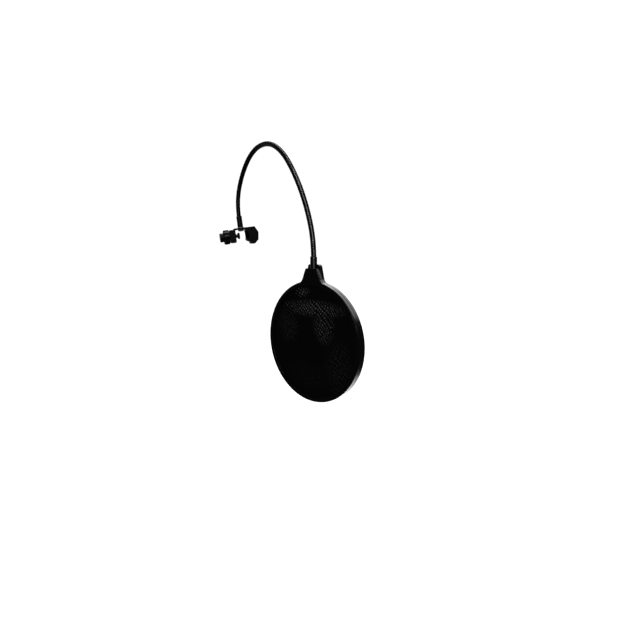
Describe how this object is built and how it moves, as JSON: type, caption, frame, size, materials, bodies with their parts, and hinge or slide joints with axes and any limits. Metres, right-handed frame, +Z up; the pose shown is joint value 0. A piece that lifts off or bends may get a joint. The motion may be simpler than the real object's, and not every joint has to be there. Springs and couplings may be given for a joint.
{
  "type": "pop filter",
  "caption": "Clamp-on pop filter: a round hoop with nylon cloth screens on a bendable gooseneck, carried by a small screw clamp that grips a round bar.",
  "frame": {"origin": "centre of the round bar that the clamp grips, in the middle of the clamp's width", "axes": "+Z up as the part hangs in use, +X from the knob to the fixed jaw, +Y along the gripped bar"},
  "size_m": [0.1461, 0.2793, 0.3412],
  "materials": {
    "clamp_plastic": "moulded, satin",
    "rubber": "matte",
    "brass": "satin",
    "pad_plastic": "satin",
    "plated_steel": "plated, satin",
    "knob_plastic": "gloss",
    "nylon": "satin",
    "ferrule_metal": "black, satin",
    "winding_steel": "black, satin",
    "core_steel": "oiled",
    "hoop_plastic": "gloss",
    "nylon_cloth": "woven",
    "inner_plastic": "satin"
  },
  "bodies": {
    "clamp": {"clamp_body": "clamp_plastic", "jaw_liner": "rubber", "thread_insert": "brass"},
    "pad": {"pressure_pad": "pad_plastic", "pad_rubber": "rubber"},
    "screw": {"clamp_screw": "plated_steel", "pad_clip": "plated_steel", "knob": "knob_plastic", "knob_cap": "knob_plastic"},
    "stem": {"stud": "plated_steel", "stud_nut": "plated_steel", "friction_washer": "nylon", "lower_ferrule": "ferrule_metal", "winding_0": "winding_steel"},
    "link_1": {"winding_1": "winding_steel", "core_1": "core_steel"},
    "link_2": {"winding_2": "winding_steel", "core_2": "core_steel"},
    "link_3": {"winding_3": "winding_steel", "core_3": "core_steel"},
    "link_4": {"winding_4": "winding_steel", "core_4": "core_steel"},
    "link_5": {"winding_5": "winding_steel", "core_5": "core_steel"},
    "link_6": {"winding_6": "winding_steel", "core_6": "core_steel"},
    "link_7": {"winding_7": "winding_steel", "core_7": "core_steel"},
    "head": {"winding_8": "winding_steel", "core_8": "core_steel", "upper_ferrule": "ferrule_metal", "front_frame": "hoop_plastic", "rear_frame": "hoop_plastic", "neck_screws": "plated_steel", "front_screen": "nylon_cloth", "rear_screen": "nylon_cloth", "front_screen_hoop": "inner_plastic", "rear_screen_hoop": "inner_plastic", "spacer_ring": "inner_plastic"}
  },
  "joints": [
    {"name": "pad_travel", "type": "slide", "parent": "clamp", "child": "pad", "axis": [0.9925, 0, 0.1219], "range_m": [-0.0064, 0.0008]},
    {"name": "knob_turn", "type": "hinge", "parent": "pad", "child": "screw", "pos_m": [-0.01985, 0, -0.00244], "axis": [0.9925, 0, 0.1219], "range_deg": [-2306, 290]},
    {"name": "stem_turn", "type": "hinge", "parent": "clamp", "child": "stem", "pos_m": [-0.00456, 0, 0.01173], "axis": [-0.1219, 0, 0.9925], "range_deg": [-180, 180]},
    {"name": "gooseneck_bend_1", "type": "hinge", "parent": "stem", "child": "link_1", "pos_m": [-0.00797, -0.00251, 0.05186], "axis": [0.8508, 0.515, 0.1045], "range_deg": [-40, 20], "deforming": ["core_1"]},
    {"name": "gooseneck_bend_2", "type": "hinge", "parent": "link_1", "child": "link_2", "pos_m": [-0.00213, -0.0216, 0.09169], "axis": [0.2095, -0.7372, -0.6424], "range_deg": [-30, 30], "deforming": ["core_2"]},
    {"name": "gooseneck_bend_3", "type": "hinge", "parent": "link_2", "child": "link_3", "pos_m": [0.00893, -0.05571, 0.11811], "axis": [0.9505, 0.3106, 0.0065], "range_deg": [-40, 20], "deforming": ["core_3"]},
    {"name": "gooseneck_bend_4", "type": "hinge", "parent": "link_3", "child": "link_4", "pos_m": [0.02246, -0.09782, 0.12307], "axis": [-0.1015, 0.1133, -0.9884], "range_deg": [-30, 30], "deforming": ["core_4"]},
    {"name": "gooseneck_bend_5", "type": "hinge", "parent": "link_4", "child": "link_5", "pos_m": [0.0344, -0.13765, 0.10685], "axis": [0.9652, 0.2529, 0.0665], "range_deg": [-40, 25], "deforming": ["core_5"]},
    {"name": "gooseneck_bend_6", "type": "hinge", "parent": "link_5", "child": "link_6", "pos_m": [0.04477, -0.16818, 0.07577], "axis": [0.0293, -0.8107, 0.5847], "range_deg": [-30, 30], "deforming": ["core_6"]},
    {"name": "gooseneck_bend_7", "type": "hinge", "parent": "link_6", "child": "link_7", "pos_m": [0.05429, -0.18844, 0.03688], "axis": [0.953, 0.2896, 0.0888], "range_deg": [-40, 30], "deforming": ["core_7"]},
    {"name": "gooseneck_bend_8", "type": "hinge", "parent": "link_7", "child": "head", "pos_m": [0.06093, -0.19873, -0.00629], "axis": [0.5566, -0.8185, 0.142], "range_deg": [-30, 30], "deforming": ["core_8"]}
  ],
  "couplings": [
    {"joint": "knob_turn", "follows": "pad_travel", "rad_per_m": 6283.2}
  ]
}
